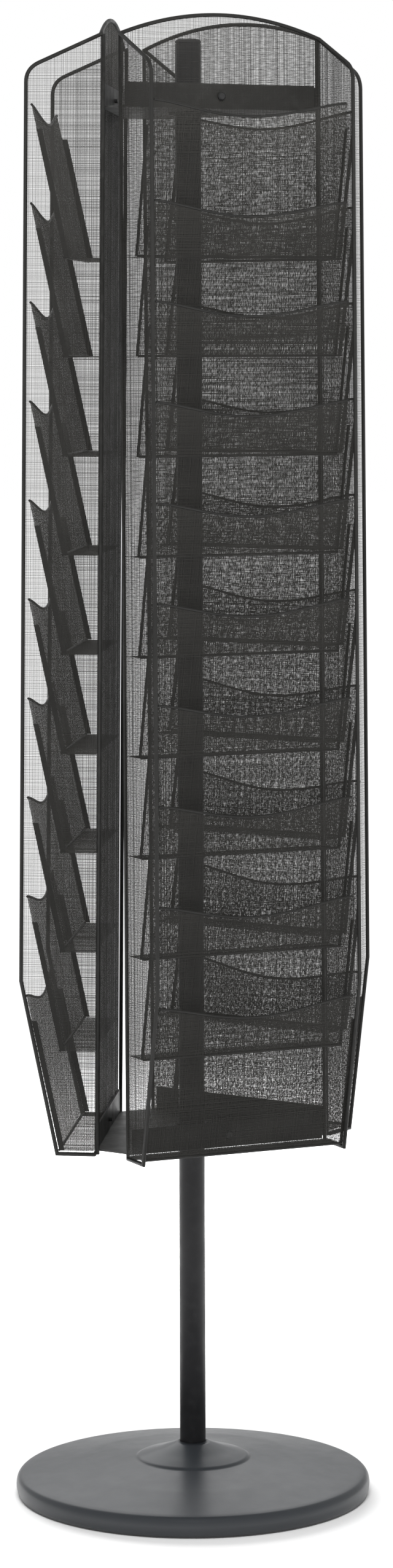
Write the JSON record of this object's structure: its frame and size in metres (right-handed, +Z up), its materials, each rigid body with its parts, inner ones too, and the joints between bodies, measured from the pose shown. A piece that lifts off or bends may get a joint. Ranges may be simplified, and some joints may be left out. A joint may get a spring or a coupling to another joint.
{
  "type": "rotating magazine display tower",
  "caption": "Free-standing rotating literature tower: mesh racks of cascading pockets around a round post on a weighted disc base.",
  "frame": {"origin": "on the floor, on the axis of the post", "axes": "+Z up along the post; -Y is the outward direction of rack a, and racks b and c follow every 120 degrees anticlockwise seen from above"},
  "size_m": [0.4386, 0.402, 1.6763],
  "materials": {
    "cover": "satin powder coat",
    "iron": "rough painted casting",
    "rubber": "matte",
    "steel": "zinc plated",
    "post": "satin powder coat",
    "nylon": "moulded nylon",
    "bracket": "satin powder coat",
    "mesh": "satin powder coat on wire mesh",
    "rim": "satin powder coat",
    "screw": "blackened steel"
  },
  "bodies": {
    "stand": {"base_cover": "cover", "base_weight": "iron", "foot_1": "rubber", "foot_2": "rubber", "foot_3": "rubber", "foot_4": "rubber", "base_bolt": "steel", "post": "post", "post_cap": "nylon", "support_collar": "post", "collar_screw": "steel", "thrust_washer": "nylon"},
    "carousel": {"lower_bracket": "bracket", "upper_bracket": "bracket", "lower_bush": "nylon", "upper_bush": "nylon", "tray_a": "mesh", "rim_a": "rim", "pocket_a1": "mesh", "pocket_a2": "mesh", "pocket_a3": "mesh", "pocket_a4": "mesh", "pocket_a5": "mesh", "pocket_a6": "mesh", "pocket_a7": "mesh", "pocket_a8": "mesh", "pocket_a9": "mesh", "pocket_a10": "mesh", "lower_screw_a": "screw", "upper_screw_a": "screw", "tray_b": "mesh", "rim_b": "rim", "pocket_b1": "mesh", "pocket_b2": "mesh", "pocket_b3": "mesh", "pocket_b4": "mesh", "pocket_b5": "mesh", "pocket_b6": "mesh", "pocket_b7": "mesh", "pocket_b8": "mesh", "pocket_b9": "mesh", "pocket_b10": "mesh", "lower_screw_b": "screw", "upper_screw_b": "screw", "tray_c": "mesh", "rim_c": "rim", "pocket_c1": "mesh", "pocket_c2": "mesh", "pocket_c3": "mesh", "pocket_c4": "mesh", "pocket_c5": "mesh", "pocket_c6": "mesh", "pocket_c7": "mesh", "pocket_c8": "mesh", "pocket_c9": "mesh", "pocket_c10": "mesh", "lower_screw_c": "screw", "upper_screw_c": "screw"}
  },
  "joints": [
    {"name": "tower_spin", "type": "hinge", "parent": "stand", "child": "carousel", "pos_m": [0, 0, 0.42], "axis": [0, 0, 1], "continuous": true}
  ]
}
